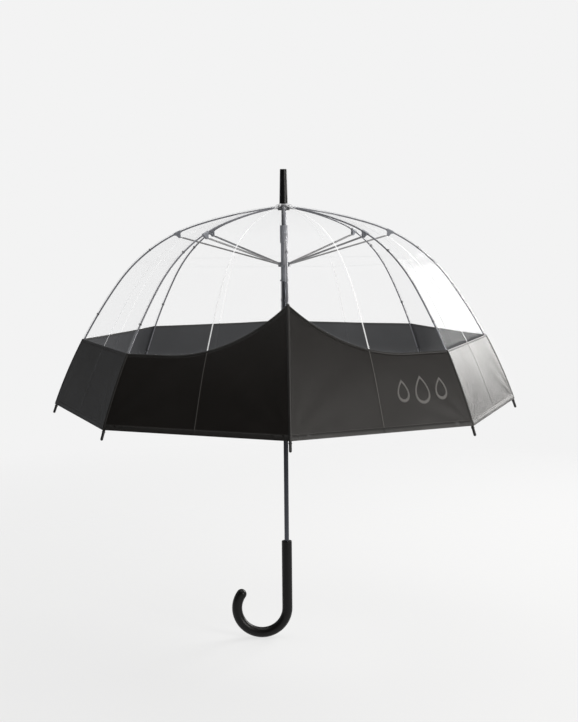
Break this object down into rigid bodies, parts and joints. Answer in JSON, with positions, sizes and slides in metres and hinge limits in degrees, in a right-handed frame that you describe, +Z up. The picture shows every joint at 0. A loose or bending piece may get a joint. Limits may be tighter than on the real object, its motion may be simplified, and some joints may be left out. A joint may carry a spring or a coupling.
{
  "type": "clear bubble umbrella",
  "caption": "Crook-handled dome umbrella with a clear canopy, an opaque band round its hem, a pinned rib frame and a sliding runner that folds it.",
  "frame": {"origin": "on the shaft's axis, level with the lowest point of the crook", "axes": "+Z up along the shaft to the ferrule, -X towards the crook's open end, -Y to the front rib, where the band rises to a point"},
  "size_m": [0.898, 0.898, 0.915],
  "materials": {
    "shaft_steel": "black satin lacquer on steel tube",
    "handle_plastic": "black, soft gloss",
    "ferrule_plastic": "black, satin",
    "clear_plastic": "clear moulded plastic",
    "black_plastic": "black nylon",
    "grey_plastic": "dark grey nylon",
    "plain_steel": "plain steel",
    "rib_fibre": "dark glass-fibre rod",
    "tip_plastic": "black nylon",
    "stretcher_steel": "light grey lacquer on steel",
    "clear_film": "clear flexible sheet",
    "black_band": "black woven band"
  },
  "bodies": {
    "shaft": {"shaft_tube": "shaft_steel", "handle": "handle_plastic", "ferrule": "ferrule_plastic", "canopy_washer": "clear_plastic", "crown": "black_plastic", "crown_ring": "plain_steel", "stop_collar": "grey_plastic", "shaft_pins": "plain_steel"},
    "rib_1": {"rib_1": "rib_fibre", "rib_joint_1": "black_plastic"},
    "rib_end_1": {"rib_tip_1": "tip_plastic"},
    "stretcher_1": {"stretcher_1": "stretcher_steel"},
    "panel_top_1": {"clear_panel_1": "clear_film"},
    "panel_low_1": {"band_panel_1": "black_band"},
    "rib_2": {"rib_2": "rib_fibre", "rib_joint_2": "black_plastic"},
    "rib_end_2": {"rib_tip_2": "tip_plastic"},
    "stretcher_2": {"stretcher_2": "stretcher_steel"},
    "panel_top_2": {"clear_panel_2": "clear_film"},
    "panel_low_2": {"band_panel_2": "black_band"},
    "rib_3": {"rib_3": "rib_fibre", "rib_joint_3": "black_plastic"},
    "rib_end_3": {"rib_tip_3": "tip_plastic"},
    "stretcher_3": {"stretcher_3": "stretcher_steel"},
    "panel_top_3": {"clear_panel_3": "clear_film"},
    "panel_low_3": {"band_panel_3": "black_band"},
    "rib_4": {"rib_4": "rib_fibre", "rib_joint_4": "black_plastic"},
    "rib_end_4": {"rib_tip_4": "tip_plastic"},
    "stretcher_4": {"stretcher_4": "stretcher_steel"},
    "panel_top_4": {"clear_panel_4": "clear_film"},
    "panel_low_4": {"band_panel_4": "black_band"},
    "rib_5": {"rib_5": "rib_fibre", "rib_joint_5": "black_plastic"},
    "rib_end_5": {"rib_tip_5": "tip_plastic"},
    "stretcher_5": {"stretcher_5": "stretcher_steel"},
    "panel_top_5": {"clear_panel_5": "clear_film"},
    "panel_low_5": {"band_panel_5": "black_band"},
    "rib_6": {"rib_6": "rib_fibre", "rib_joint_6": "black_plastic"},
    "rib_end_6": {"rib_tip_6": "tip_plastic"},
    "stretcher_6": {"stretcher_6": "stretcher_steel"},
    "panel_top_6": {"clear_panel_6": "clear_film"},
    "panel_low_6": {"band_panel_6": "black_band"},
    "rib_7": {"rib_7": "rib_fibre", "rib_joint_7": "black_plastic"},
    "rib_end_7": {"rib_tip_7": "tip_plastic"},
    "stretcher_7": {"stretcher_7": "stretcher_steel"},
    "panel_top_7": {"clear_panel_7": "clear_film"},
    "panel_low_7": {"band_panel_7": "black_band"},
    "rib_8": {"rib_8": "rib_fibre", "rib_joint_8": "black_plastic"},
    "rib_end_8": {"rib_tip_8": "tip_plastic"},
    "stretcher_8": {"stretcher_8": "stretcher_steel"},
    "panel_top_8": {"clear_panel_8": "clear_film"},
    "panel_low_8": {"band_panel_8": "black_band"},
    "runner": {"runner": "grey_plastic", "runner_ring": "plain_steel"},
    "top_catch": {"top_catch": "plain_steel"},
    "bottom_catch": {"bottom_catch": "plain_steel"}
  },
  "joints": [
    {"name": "rib_1_fold", "type": "hinge", "parent": "shaft", "child": "rib_1", "pos_m": [0, -0.009, 0.843], "axis": [1, 0, 0], "range_deg": [0, 68.11], "deforming": ["rib_1", "clear_panel_1", "band_panel_1", "rib_2", "clear_panel_2", "band_panel_2", "rib_3", "clear_panel_3", "band_panel_3", "rib_4", "clear_panel_4", "band_panel_4", "rib_5", "clear_panel_5", "band_panel_5", "rib_6", "clear_panel_6", "band_panel_6", "rib_7", "clear_panel_7", "band_panel_7", "rib_8", "clear_panel_8", "band_panel_8", "top_catch", "bottom_catch"]},
    {"name": "rib_1_bend", "type": "hinge", "parent": "rib_1", "child": "rib_end_1", "pos_m": [0, -0.2116, 0.79166], "axis": [-1, 0, 0], "range_deg": [0, 30.2]},
    {"name": "stretcher_1_swing", "type": "hinge", "parent": "rib_1", "child": "stretcher_1", "pos_m": [0, -0.19921, 0.78885], "axis": [-1, 0, 0], "range_deg": [0, 136.32]},
    {"name": "panel_1_fold", "type": "hinge", "parent": "shaft", "child": "panel_top_1", "pos_m": [0.00344, -0.00831, 0.846], "axis": [0.9239, 0.3827, 0], "range_deg": [0, 64.2]},
    {"name": "panel_1_bend", "type": "hinge", "parent": "panel_top_1", "child": "panel_low_1", "pos_m": [0.10135, -0.24468, 0.74164], "axis": [-0.9239, -0.3827, 0], "range_deg": [0, 37.8]},
    {"name": "rib_2_fold", "type": "hinge", "parent": "shaft", "child": "rib_2", "pos_m": [0.00636, -0.00636, 0.843], "axis": [0.7071, 0.7071, 0], "range_deg": [0, 68.11]},
    {"name": "rib_2_bend", "type": "hinge", "parent": "rib_2", "child": "rib_end_2", "pos_m": [0.14963, -0.14963, 0.79166], "axis": [-0.7071, -0.7071, 0], "range_deg": [0, 30.2]},
    {"name": "stretcher_2_swing", "type": "hinge", "parent": "rib_2", "child": "stretcher_2", "pos_m": [0.14086, -0.14086, 0.78885], "axis": [-0.7071, -0.7071, 0], "range_deg": [0, 136.32]},
    {"name": "panel_2_fold", "type": "hinge", "parent": "shaft", "child": "panel_top_2", "pos_m": [0.00831, -0.00344, 0.846], "axis": [0.3827, 0.9239, 0], "range_deg": [0, 64.2]},
    {"name": "panel_2_bend", "type": "hinge", "parent": "panel_top_2", "child": "panel_low_2", "pos_m": [0.24468, -0.10135, 0.74164], "axis": [-0.3827, -0.9239, 0], "range_deg": [0, 37.8]},
    {"name": "rib_3_fold", "type": "hinge", "parent": "shaft", "child": "rib_3", "pos_m": [0.009, 0, 0.843], "axis": [0, 1, 0], "range_deg": [0, 68.11]},
    {"name": "rib_3_bend", "type": "hinge", "parent": "rib_3", "child": "rib_end_3", "pos_m": [0.2116, 0, 0.79166], "axis": [0, -1, 0], "range_deg": [0, 30.2]},
    {"name": "stretcher_3_swing", "type": "hinge", "parent": "rib_3", "child": "stretcher_3", "pos_m": [0.19921, 0, 0.78885], "axis": [0, -1, 0], "range_deg": [0, 136.32]},
    {"name": "panel_3_fold", "type": "hinge", "parent": "shaft", "child": "panel_top_3", "pos_m": [0.00831, 0.00344, 0.846], "axis": [-0.3827, 0.9239, 0], "range_deg": [0, 64.2]},
    {"name": "panel_3_bend", "type": "hinge", "parent": "panel_top_3", "child": "panel_low_3", "pos_m": [0.24468, 0.10135, 0.74164], "axis": [0.3827, -0.9239, 0], "range_deg": [0, 37.8]},
    {"name": "rib_4_fold", "type": "hinge", "parent": "shaft", "child": "rib_4", "pos_m": [0.00636, 0.00636, 0.843], "axis": [-0.7071, 0.7071, 0], "range_deg": [0, 68.11]},
    {"name": "rib_4_bend", "type": "hinge", "parent": "rib_4", "child": "rib_end_4", "pos_m": [0.14963, 0.14963, 0.79166], "axis": [0.7071, -0.7071, 0], "range_deg": [0, 30.2]},
    {"name": "stretcher_4_swing", "type": "hinge", "parent": "rib_4", "child": "stretcher_4", "pos_m": [0.14086, 0.14086, 0.78885], "axis": [0.7071, -0.7071, 0], "range_deg": [0, 136.32]},
    {"name": "panel_4_fold", "type": "hinge", "parent": "shaft", "child": "panel_top_4", "pos_m": [0.00344, 0.00831, 0.846], "axis": [-0.9239, 0.3827, 0], "range_deg": [0, 64.2]},
    {"name": "panel_4_bend", "type": "hinge", "parent": "panel_top_4", "child": "panel_low_4", "pos_m": [0.10135, 0.24468, 0.74164], "axis": [0.9239, -0.3827, 0], "range_deg": [0, 37.8]},
    {"name": "rib_5_fold", "type": "hinge", "parent": "shaft", "child": "rib_5", "pos_m": [0, 0.009, 0.843], "axis": [-1, 0, 0], "range_deg": [0, 68.11]},
    {"name": "rib_5_bend", "type": "hinge", "parent": "rib_5", "child": "rib_end_5", "pos_m": [0, 0.2116, 0.79166], "axis": [1, 0, 0], "range_deg": [0, 30.2]},
    {"name": "stretcher_5_swing", "type": "hinge", "parent": "rib_5", "child": "stretcher_5", "pos_m": [0, 0.19921, 0.78885], "axis": [1, 0, 0], "range_deg": [0, 136.32]},
    {"name": "panel_5_fold", "type": "hinge", "parent": "shaft", "child": "panel_top_5", "pos_m": [-0.00344, 0.00831, 0.846], "axis": [-0.9239, -0.3827, 0], "range_deg": [0, 64.2]},
    {"name": "panel_5_bend", "type": "hinge", "parent": "panel_top_5", "child": "panel_low_5", "pos_m": [-0.10135, 0.24468, 0.74164], "axis": [0.9239, 0.3827, 0], "range_deg": [0, 37.8]},
    {"name": "rib_6_fold", "type": "hinge", "parent": "shaft", "child": "rib_6", "pos_m": [-0.00636, 0.00636, 0.843], "axis": [-0.7071, -0.7071, 0], "range_deg": [0, 68.11]},
    {"name": "rib_6_bend", "type": "hinge", "parent": "rib_6", "child": "rib_end_6", "pos_m": [-0.14963, 0.14963, 0.79166], "axis": [0.7071, 0.7071, 0], "range_deg": [0, 30.2]},
    {"name": "stretcher_6_swing", "type": "hinge", "parent": "rib_6", "child": "stretcher_6", "pos_m": [-0.14086, 0.14086, 0.78885], "axis": [0.7071, 0.7071, 0], "range_deg": [0, 136.32]},
    {"name": "panel_6_fold", "type": "hinge", "parent": "shaft", "child": "panel_top_6", "pos_m": [-0.00831, 0.00344, 0.846], "axis": [-0.3827, -0.9239, 0], "range_deg": [0, 64.2]},
    {"name": "panel_6_bend", "type": "hinge", "parent": "panel_top_6", "child": "panel_low_6", "pos_m": [-0.24468, 0.10135, 0.74164], "axis": [0.3827, 0.9239, 0], "range_deg": [0, 37.8]},
    {"name": "rib_7_fold", "type": "hinge", "parent": "shaft", "child": "rib_7", "pos_m": [-0.009, 0, 0.843], "axis": [0, -1, 0], "range_deg": [0, 68.11]},
    {"name": "rib_7_bend", "type": "hinge", "parent": "rib_7", "child": "rib_end_7", "pos_m": [-0.2116, 0, 0.79166], "axis": [0, 1, 0], "range_deg": [0, 30.2]},
    {"name": "stretcher_7_swing", "type": "hinge", "parent": "rib_7", "child": "stretcher_7", "pos_m": [-0.19921, 0, 0.78885], "axis": [0, 1, 0], "range_deg": [0, 136.32]},
    {"name": "panel_7_fold", "type": "hinge", "parent": "shaft", "child": "panel_top_7", "pos_m": [-0.00831, -0.00344, 0.846], "axis": [0.3827, -0.9239, 0], "range_deg": [0, 64.2]},
    {"name": "panel_7_bend", "type": "hinge", "parent": "panel_top_7", "child": "panel_low_7", "pos_m": [-0.24468, -0.10135, 0.74164], "axis": [-0.3827, 0.9239, 0], "range_deg": [0, 37.8]},
    {"name": "rib_8_fold", "type": "hinge", "parent": "shaft", "child": "rib_8", "pos_m": [-0.00636, -0.00636, 0.843], "axis": [0.7071, -0.7071, 0], "range_deg": [0, 68.11]},
    {"name": "rib_8_bend", "type": "hinge", "parent": "rib_8", "child": "rib_end_8", "pos_m": [-0.14963, -0.14963, 0.79166], "axis": [-0.7071, 0.7071, 0], "range_deg": [0, 30.2]},
    {"name": "stretcher_8_swing", "type": "hinge", "parent": "rib_8", "child": "stretcher_8", "pos_m": [-0.14086, -0.14086, 0.78885], "axis": [-0.7071, 0.7071, 0], "range_deg": [0, 136.32]},
    {"name": "panel_8_fold", "type": "hinge", "parent": "shaft", "child": "panel_top_8", "pos_m": [-0.00344, -0.00831, 0.846], "axis": [0.9239, -0.3827, 0], "range_deg": [0, 64.2]},
    {"name": "panel_8_bend", "type": "hinge", "parent": "panel_top_8", "child": "panel_low_8", "pos_m": [-0.10135, -0.24468, 0.74164], "axis": [-0.9239, 0.3827, 0], "range_deg": [0, 37.8]},
    {"name": "runner_slide", "type": "hinge", "parent": "stretcher_1", "child": "runner", "pos_m": [0, -0.009, 0.7347], "axis": [1, 0, 0], "range_deg": [0, 68.21]},
    {"name": "top_catch_press", "type": "hinge", "parent": "shaft", "child": "top_catch", "pos_m": [0, 0, 0.6623], "axis": [0, -1, 0], "range_deg": [0, 4], "stiffness_Nm_per_rad": 0.15, "springref_deg": -6.88},
    {"name": "bottom_catch_press", "type": "hinge", "parent": "shaft", "child": "bottom_catch", "pos_m": [0, 0, 0.53002], "axis": [0, 1, 0], "range_deg": [0, 4], "stiffness_Nm_per_rad": 0.15, "springref_deg": -6.88}
  ],
  "couplings": [
    {"joint": "rib_1_bend", "follows": "rib_1_fold", "ratio": 0.44194},
    {"joint": "stretcher_1_swing", "follows": "rib_1_fold", "ratio": 2},
    {"joint": "panel_1_fold", "follows": "rib_1_fold", "ratio": 0.94114},
    {"joint": "panel_1_bend", "follows": "rib_1_fold", "ratio": 0.55352},
    {"joint": "rib_2_fold", "follows": "rib_1_fold", "ratio": 1},
    {"joint": "rib_2_bend", "follows": "rib_1_fold", "ratio": 0.44194},
    {"joint": "stretcher_2_swing", "follows": "rib_1_fold", "ratio": 2},
    {"joint": "panel_2_fold", "follows": "rib_1_fold", "ratio": 0.94114},
    {"joint": "panel_2_bend", "follows": "rib_1_fold", "ratio": 0.55352},
    {"joint": "rib_3_fold", "follows": "rib_1_fold", "ratio": 1},
    {"joint": "rib_3_bend", "follows": "rib_1_fold", "ratio": 0.44194},
    {"joint": "stretcher_3_swing", "follows": "rib_1_fold", "ratio": 2},
    {"joint": "panel_3_fold", "follows": "rib_1_fold", "ratio": 0.94114},
    {"joint": "panel_3_bend", "follows": "rib_1_fold", "ratio": 0.55352},
    {"joint": "rib_4_fold", "follows": "rib_1_fold", "ratio": 1},
    {"joint": "rib_4_bend", "follows": "rib_1_fold", "ratio": 0.44194},
    {"joint": "stretcher_4_swing", "follows": "rib_1_fold", "ratio": 2},
    {"joint": "panel_4_fold", "follows": "rib_1_fold", "ratio": 0.94114},
    {"joint": "panel_4_bend", "follows": "rib_1_fold", "ratio": 0.55352},
    {"joint": "rib_5_fold", "follows": "rib_1_fold", "ratio": 1},
    {"joint": "rib_5_bend", "follows": "rib_1_fold", "ratio": 0.44194},
    {"joint": "stretcher_5_swing", "follows": "rib_1_fold", "ratio": 2},
    {"joint": "panel_5_fold", "follows": "rib_1_fold", "ratio": 0.94114},
    {"joint": "panel_5_bend", "follows": "rib_1_fold", "ratio": 0.55352},
    {"joint": "rib_6_fold", "follows": "rib_1_fold", "ratio": 1},
    {"joint": "rib_6_bend", "follows": "rib_1_fold", "ratio": 0.44194},
    {"joint": "stretcher_6_swing", "follows": "rib_1_fold", "ratio": 2},
    {"joint": "panel_6_fold", "follows": "rib_1_fold", "ratio": 0.94114},
    {"joint": "panel_6_bend", "follows": "rib_1_fold", "ratio": 0.55352},
    {"joint": "rib_7_fold", "follows": "rib_1_fold", "ratio": 1},
    {"joint": "rib_7_bend", "follows": "rib_1_fold", "ratio": 0.44194},
    {"joint": "stretcher_7_swing", "follows": "rib_1_fold", "ratio": 2},
    {"joint": "panel_7_fold", "follows": "rib_1_fold", "ratio": 0.94114},
    {"joint": "panel_7_bend", "follows": "rib_1_fold", "ratio": 0.55352},
    {"joint": "rib_8_fold", "follows": "rib_1_fold", "ratio": 1},
    {"joint": "rib_8_bend", "follows": "rib_1_fold", "ratio": 0.44194},
    {"joint": "stretcher_8_swing", "follows": "rib_1_fold", "ratio": 2},
    {"joint": "panel_8_fold", "follows": "rib_1_fold", "ratio": 0.94114},
    {"joint": "panel_8_bend", "follows": "rib_1_fold", "ratio": 0.55352},
    {"joint": "runner_slide", "follows": "rib_1_fold", "ratio": 1}
  ]
}
